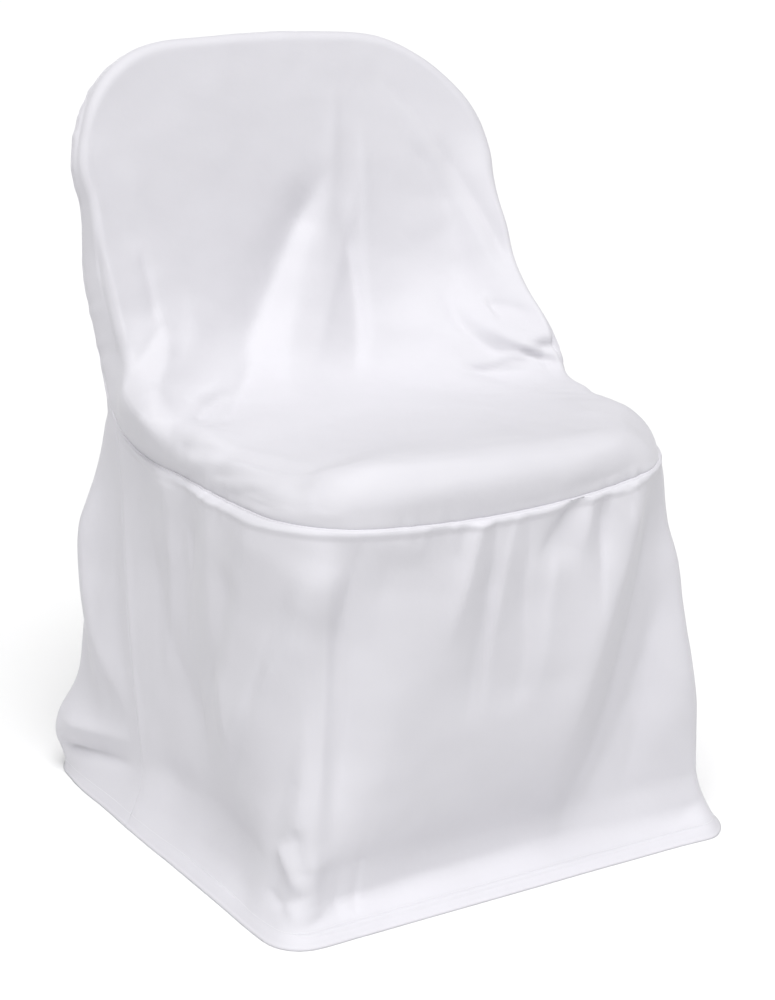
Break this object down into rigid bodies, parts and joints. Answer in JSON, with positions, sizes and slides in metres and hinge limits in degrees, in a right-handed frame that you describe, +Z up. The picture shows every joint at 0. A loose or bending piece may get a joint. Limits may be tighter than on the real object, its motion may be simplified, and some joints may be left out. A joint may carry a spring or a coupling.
{
  "type": "chair cover",
  "caption": "Fitted cloth cover for a round-backed folding chair, with a pocket over the back and a skirt that hangs to the floor.",
  "frame": {"origin": "on the floor, at the middle of the cover's box", "axes": "+Z up along the cover's height, -Y towards the front edge of the seat, +X to the right of someone who faces the front"},
  "size_m": [0.529, 0.5327, 0.7555],
  "materials": {
    "front_cloth": "plain white polyester weave, satin-matte",
    "skirt_cloth": "plain white polyester weave, satin-matte",
    "back_cloth": "plain white polyester weave, satin-matte"
  },
  "bodies": {
    "root": {"front_panel": "front_cloth", "skirt": "skirt_cloth", "back_panel": "back_cloth"}
  },
  "joints": []
}
